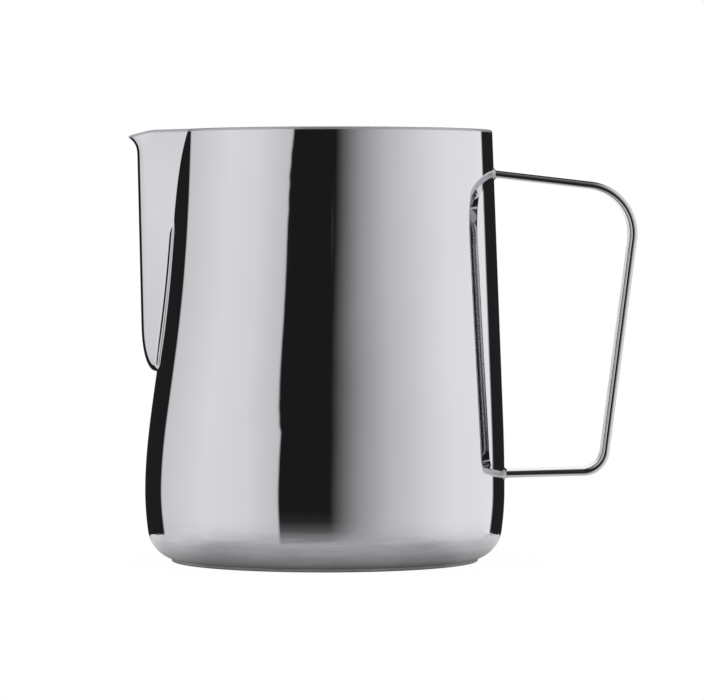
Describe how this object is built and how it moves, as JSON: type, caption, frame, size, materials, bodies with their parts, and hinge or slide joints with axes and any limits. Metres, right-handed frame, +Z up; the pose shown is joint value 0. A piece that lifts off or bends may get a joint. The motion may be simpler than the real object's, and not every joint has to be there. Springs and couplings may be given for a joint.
{
  "type": "milk frothing pitcher",
  "caption": "Stainless steel milk frothing pitcher with a round foot, leaning wall, pressed pouring spout and an open bent strip handle.",
  "frame": {"origin": "centre of the round foot, on the plane the pitcher stands on", "axes": "+Z up towards the rim, -X towards the spout, +X towards the handle, XZ is the plane of symmetry"},
  "size_m": [0.1267, 0.0898, 0.1075],
  "materials": {
    "cup_steel": "mirror polished outside, satin brushed inside",
    "handle_steel": "mirror polished strip with softened edges",
    "weld_steel": "dressed weld bead, slightly dull"
  },
  "bodies": {
    "root": {"pitcher_body": "cup_steel", "handle": "handle_steel", "upper_weld": "weld_steel", "lower_weld": "weld_steel"}
  },
  "joints": []
}
